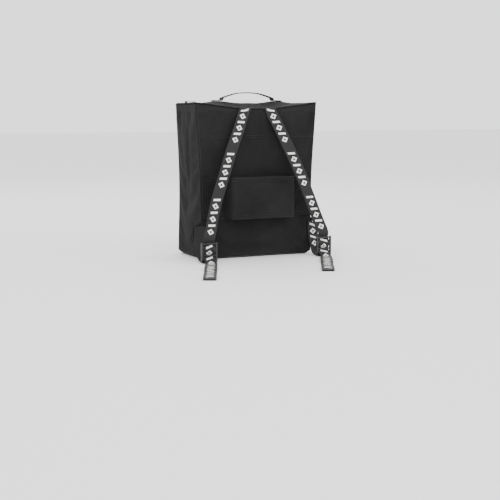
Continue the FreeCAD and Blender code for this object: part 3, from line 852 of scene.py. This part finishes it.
strap = {"width": 0.030, "thick": 0.0016, "topX": 0.032, "endX": 0.156, "off": 0.060, "step": 0.004,
         "tail": 0.245, "tuck": 0.0015, "hem": 0.014, "foot": 0.011, "below": 0.006,
         "bow": {"left": 0.0085, "right": 0.001}, "swing": {"left": 24.0, "right": -28.0}}
lock = {"pitch": 0.014, "anchorBar": 0.0056, "bars": 4}
anchor = {"step": 0.0022, "narrower": 0.0006, "uvStart": 0.03}
triangle = {"tip": 0.020, "tuck": 0.0015, "puff": 0.0007, "off": 0.0008, "thick": 0.0014}
hemShape = {"narrower": 0.0004, "thick": 0.0012, "rise": 0.8, "stitchHalf": 0.0125}
pitch, anchorBar = lock["pitch"], lock["anchorBar"]
topBar = anchorBar + (lock["bars"] - 1) * pitch
strapFoot = topBar + strap["foot"]
strapTop = topLow.z - strap["below"]
adjusterY = backY - strap["off"]
ground = strap["thick"] / 2


def runPoint(z, off, bow):
    # a slack strap lies a little outwards and nearer the bag in the middle of its run
    share = (strapTop - z) / (strapTop - strapFoot)
    slack = bow * smoothStep(share * 2.2) * smoothStep((1 - share) * 3.2)
    x = strap["topX"] + share * (strap["endX"] - strap["topX"])
    return Vector((x + slack, backY - off + slack, z))


def strapRoute(side):
    swing = math.radians(strap["swing"][side])
    x = strap["endX"]
    bow = strap["bow"][side]
    run = [runPoint(z, off, bow) for z, off in (
        (strapTop - strap["tuck"], 0.0019), (strapTop - 0.012, 0.0017), (strapTop - 0.022, 0.0034),
        (0.335, 0.0105),
        (0.300, 0.0215), (0.255, 0.0335), (0.210, 0.0440), (0.160, 0.0490), (0.110, 0.0520),
        (0.080, 0.0560))]
    weave = [Vector((x, adjusterY + y, z)) for y, z in (
        (0.000, strapFoot + 0.002), (0.0036, topBar + 0.004), (0.0050, topBar - 0.001),
        (-0.0064, topBar - pitch), (0.0070, topBar - 2 * pitch), (-0.0090, anchorBar + 0.001))]
    touch = Vector((x, adjusterY - 0.0132, ground))
    ahead = Vector((math.sin(swing), -math.cos(swing), 0))
    loose = [touch + Vector((0, 0, 0.0004))]
    for share, rise in ((0.10, 0.0006), (0.24, 0.0042), (0.38, 0.0048), (0.52, 0.0004), (0.66, 0.0004),
                        (0.80, 0.0044), (0.92, 0.0040), (1.0, 0.0006)):
        loose.append(touch + ahead * strap["tail"] * share + Vector((0, 0, rise)))
    return run + weave + loose


def mirrorBand(bm, side):
    # keeps the band off the ground, and its outer face outwards on both sides
    for vert in bm.verts:
        vert.co.x *= side
        vert.co.z = max(vert.co.z, ground)
    if side < 0:
        bmesh.ops.reverse_faces(bm, faces=bm.faces)


def strapPiece(name, side):
    route = smoothRoute(strapRoute(name), strap["step"])
    rise = strapTop - strapFoot
    lean = math.atan2(strap["endX"] - strap["topX"], rise)
    swing = math.radians(strap["swing"][name])
    runAcross = Vector((math.cos(lean), 0, math.sin(lean)))
    looseAcross = Vector((math.cos(swing), math.sin(swing), 0))
    middle = Vector((1, 0, 0))
    levelWidth = 1 / math.cos(lean)
    rows = len(route) - 1

    def across(t):
        spot = route[round(t * rows)]
        if spot.y < adjusterY - 0.0100:
            share = smoothStep((adjusterY - 0.0100 - spot.y) / 0.022)
            return middle.lerp(looseAcross, share).normalized()
        share = smoothStep((spot.z - topBar - 0.004) / 0.035)
        level = smoothStep((spot.z - strapTop + 0.020) / 0.018)
        return middle.lerp(runAcross, share).normalized().lerp(middle * levelWidth, level)

    bm = ribbon(route, across, strap["width"], 6)
    mirrorBand(bm, side)
    sheetPiece(bm, "harnessWebbing_" + name, [printedWebbing, plainWebbing], "bag",
               ("shoulder_strap_" + name, "strap_tail_" + name), strap["thick"], 1)
    return route


def anchorPiece(name, side):
    x = strap["endX"]
    low = anchorBar - 0.0031
    spots = [(backY - 0.0009, 0.084), (backY - 0.0009, 0.066), (backY - 0.004, 0.048),
             (backY - 0.016, 0.020), (backY - 0.026, 0.0030), (adjusterY + 0.012, low - 0.0004),
             (adjusterY + 0.0034, low - 0.0004), (adjusterY - 0.0038, low - 0.0004),
             (adjusterY - 0.0038, anchorBar + 0.0036), (adjusterY + 0.0036, anchorBar + 0.0038),
             (adjusterY + 0.0060, anchorBar - 0.0002), (adjusterY + 0.011, low + 0.0016),
             (backY - 0.034, low + 0.0017)]
    route = smoothRoute([Vector((x, y, z)) for y, z in spots], anchor["step"])
    bm = ribbon(route, facing(1, 0, 0), strap["width"] - anchor["narrower"], 6,
                uvStart=anchor["uvStart"])
    mirrorBand(bm, side)
    # the left band shows its plain side
    finishes = [printedWebbing, plainWebbing] if side > 0 else [plainWebbing, printedWebbing]
    sheetPiece(bm, "anchorBand_" + name, finishes, "bag",
               ("anchor_webbing_" + name,), strap["thick"], 1)


def tabPiece(name, side):
    # a folded triangle of body cloth sewn into the side seam
    low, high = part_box("anchor_tab_right")
    bm = bmesh.new()
    bmesh.ops.create_grid(bm, x_segments=8, y_segments=12, size=0.5)
    for vert in bm.verts:
        share = vert.co.x + 0.5
        tall = (high.z - low.z) + (triangle["tip"] - (high.z - low.z)) * share
        z = (low.z + high.z) / 2 + vert.co.y * tall
        root = halfWidthAt(z) - waistAt(z) - triangle["tuck"]
        x = root + share * (high.x - root)
        puff = triangle["puff"] * math.sin(math.pi * share) * math.cos(math.pi * vert.co.y)
        vert.co = (side * x, backY + triangle["off"] + puff, z)
    faceOutwards(bm)
    sheetPiece(bm, "anchorTriangle_" + name, [bodyCloth], "bag", ("anchor_tab_" + name,),
               triangle["thick"])


def hemPiece(name, side, route):
    # the end of the tail, turned up and sewn
    count = round(strap["hem"] / strap["step"])
    swing = math.radians(strap["swing"][name])
    across = Vector((math.cos(swing), math.sin(swing), 0))
    line = [p + Vector((0, 0, strap["thick"] * hemShape["rise"])) for p in route[-count - 1:]]
    bm = ribbon(line, lambda t: across, strap["width"] - hemShape["narrower"], 6)
    for vert in bm.verts:
        vert.co.x *= side
    faceOutwards(bm)
    sheetPiece(bm, "tailHem_" + name, [plainWebbing], "bag", (), hemShape["thick"])
    first = line[0].lerp(line[1], 0.35) + Vector((0, 0, 0.0008))
    row = [first - across * hemShape["stitchHalf"], first + across * hemShape["stitchHalf"]]
    return [Vector((p.x * side, p.y, p.z)) for p in row]


webbingStitches = []
for name, side in sides.items():
    route = strapPiece(name, side)
    webbingStitches.append((hemPiece(name, side, route), Vector((0, 0, 1))))
    anchorPiece(name, side)
    tabPiece(name, side)
    setFinish("ladder_lock_" + name, glossPlastic)
print("harness made")


# sewing

def sewAlong(name, lines, body):
    bm = bmesh.new()
    for line, normal in lines:
        stitch(bm, line, normal)
    addPiece(bm, name, [sewingThread], body)


sewing = {"half": 0.0125, "strapRows": (0.0050, 0.0075), "boxLow": 0.0625, "boxHigh": 0.0805,
          "lean": 0.395, "topIn": 0.0065, "rootHalf": 0.0068, "hems": (0.0095, 0.0018)}
outBack = Vector((0, -1, 0))
upward = Vector((0, 0, 1))
for side in sides.values():
    for drop in sewing["strapRows"]:
        y = backY - strap["thick"] - 0.0013
        middle = strap["topX"] + (drop - 0.001) * sewing["lean"]
        z = strapTop - drop
        webbingStitches.append(([Vector((side * (middle - sewing["half"]), y, z)),
                                 Vector((side * (middle + sewing["half"]), y, z))], outBack))
    y = backY - strap["thick"] - 0.0004
    low, high = sewing["boxLow"], sewing["boxHigh"]
    left, right = strap["endX"] - sewing["half"], strap["endX"] + sewing["half"]
    ring = [(left, low), (right, low), (right, high), (left, high), (left, low), (right, high)]
    for corners in (ring, [(right, low), (left, high)]):
        webbingStitches.append(([Vector((side * x, y, z)) for x, z in corners], outBack))
sewAlong("webbingSewing", webbingStitches, "bag")
sleeveStitches = []
for inward in sewing["hems"]:
    for z in (sleeveLow.z + inward, sleeveHigh.z - inward):
        sleeveStitches.append(([p + Vector((0, -0.0021, z)) for p in sleeveLine], outBack))
for x in (-0.094, 0.094, -wingX + 0.0035, wingX - 0.0035):
    y = backY - sleeve["thick"] - 0.0001
    sleeveStitches.append(([Vector((x, y, sleeveLow.z + 0.012)), Vector((x, y, sleeveHigh.z - 0.012))],
                           outBack))
sewAlong("sleeveSewing", sleeveStitches, "bag")


def onShell(point):
    spot, normal = panelTree.find_nearest(point)[:2]
    return spot + normal * 0.0004, normal


shellStitches = []
shellInset = {"seam": 0.0052, "low": 0.014, "high": 0.368, "panelSeam": 0.300, "row": 0.0022,
              "end": 0.006}
for side in sides.values():
    for nearFace in ("back", "front", "gussetBack", "gussetFront"):
        line = []
        for i in range(91):
            z = shellInset["low"] + (shellInset["high"] - shellInset["low"]) * i / 90
            edge = halfWidthAt(z) - waistAt(z)
            spots = {"back": (edge - shellInset["seam"], backY),
                     "front": (edge - shellInset["seam"], frontAt(z)),
                     "gussetBack": (edge, backY + shellInset["seam"]),
                     "gussetFront": (edge, frontAt(z) - shellInset["seam"])}
            x, y = spots[nearFace]
            spot, normal = onShell(Vector((side * x, y, z)))
            line.append(spot)
        shellStitches.append((line, normal))
for rise in (-shellInset["row"], shellInset["row"]):
    z = shellInset["panelSeam"] + rise
    edge = halfWidthAt(z) - waistAt(z) - shellInset["end"]
    line = [onShell(Vector((-edge + 2 * edge * i / 60, backY, z)))[0] for i in range(61)]
    shellStitches.append((line, outBack))
sewAlong("shellSewing", shellStitches, "bag")

topStitches = []
sewnX, sewnNear, sewnFar = half - sewing["topIn"], nearEdge + sewing["topIn"], farEdge - sewing["topIn"]
zipRow = top["zipBack"] - 0.0022
for ax, ay, bx, by in ((-sewnX, sewnNear, sewnX, sewnNear), (-sewnX, sewnNear, -sewnX, sewnFar),
                       (sewnX, sewnNear, sewnX, sewnFar), (-top["zipEnd"], zipRow, top["zipEnd"], zipRow)):
    spots = [(ax + (bx - ax) * i / 40, ay + (by - ay) * i / 40) for i in range(41)]
    line = [Vector((x, y, topHigh.z + 0.0001 + topLift(x, y))) for x, y in spots]
    topStitches.append((line, upward))
sewAlong("topSewing", topStitches, "bag")
flapLine = [Vector((x, flapLow.y + 0.0024, topHigh.z + 0.0003))
            for x in (flapLow.x + 0.003, flapHigh.x - 0.003)]
sewAlong("flapSewing", [(flapLine, upward)], "flap")

rootStitches = []
for side in sides.values():
    ends = (rootLow.x + 0.0045, rootHigh.x - 0.0022)
    low, high = handle["y"] - sewing["rootHalf"], handle["y"] + sewing["rootHalf"]
    ring = [(ends[0], low), (ends[1], low), (ends[1], high), (ends[0], high), (ends[0], low),
            (ends[1], high)]
    for corners in (ring, [(ends[0], high), (ends[1], low)]):
        line = [Vector((side * x, y, topHigh.z + 0.0022 + topLift(side * x, handle["y"])))
                for x, y in corners]
        rootStitches.append((line, upward))
sewAlong("handleSewing", rootStitches, "bag")
print("sewing made")


# floor, light and camera

def areaLight(name, place, target, size, power):
    data = bpy.data.lights.new(name, "AREA")
    data.shape = "RECTANGLE"
    data.size, data.size_y = size
    data.energy = power
    lamp = bpy.data.objects.new(name, data)
    lamp.location = place
    lamp.rotation_euler = (Vector(target) - Vector(place)).to_track_quat("-Z", "Y").to_euler()
    bpy.context.scene.collection.objects.link(lamp)


studio = {"floorHalf": 14, "floorTone": 0.86, "floorRough": 0.7, "sky": 1.9}
view = {"place": (-1.1351, -2.4507, 0.3652), "lens": 76.3, "sensor": 36, "down": 7.54, "turn": 25.17}
floorMesh = bmesh.new()
bmesh.ops.create_grid(floorMesh, x_segments=2, y_segments=2, size=studio["floorHalf"])
floorData = bpy.data.meshes.new("studioFloor")
floorMesh.to_mesh(floorData)
floorMesh.free()
floorMaterial, _, _, fillFloor = startMaterial("studioFloor")
fillFloor({"Base Color": (*[studio["floorTone"]] * 3, 1), "Roughness": studio["floorRough"]})
floorData.materials.append(floorMaterial)
studioFloor = bpy.data.objects.new("studioFloor", floorData)
bpy.context.scene.collection.objects.link(studioFloor)

world = bpy.data.worlds.new("studio")
world.use_nodes = True
sky = world.node_tree.nodes["Background"].inputs
sky["Color"].default_value = (1, 1, 1, 1)
sky["Strength"].default_value = studio["sky"]
bpy.context.scene.world = world
areaLight("keyLight", (-0.7, -2.3, 2.3), (0, 0, 0.2), (1.8, 1.4), 34)
areaLight("fillLight", (2.1, -1.9, 1.4), (0, 0, 0.2), (1.6, 1.6), 16)
areaLight("rimLight", (0.2, 1.9, 2.0), (0, 0, 0.3), (2.0, 1.0), 26)

cameraData = bpy.data.cameras.new("camera")
cameraData.sensor_width = view["sensor"]
cameraData.lens = view["lens"]
camera = bpy.data.objects.new("camera", cameraData)
camera.location = view["place"]
camera.rotation_euler = (math.radians(90 - view["down"]), 0, math.radians(-view["turn"]))
bpy.context.scene.collection.objects.link(camera)
bpy.context.scene.camera = camera
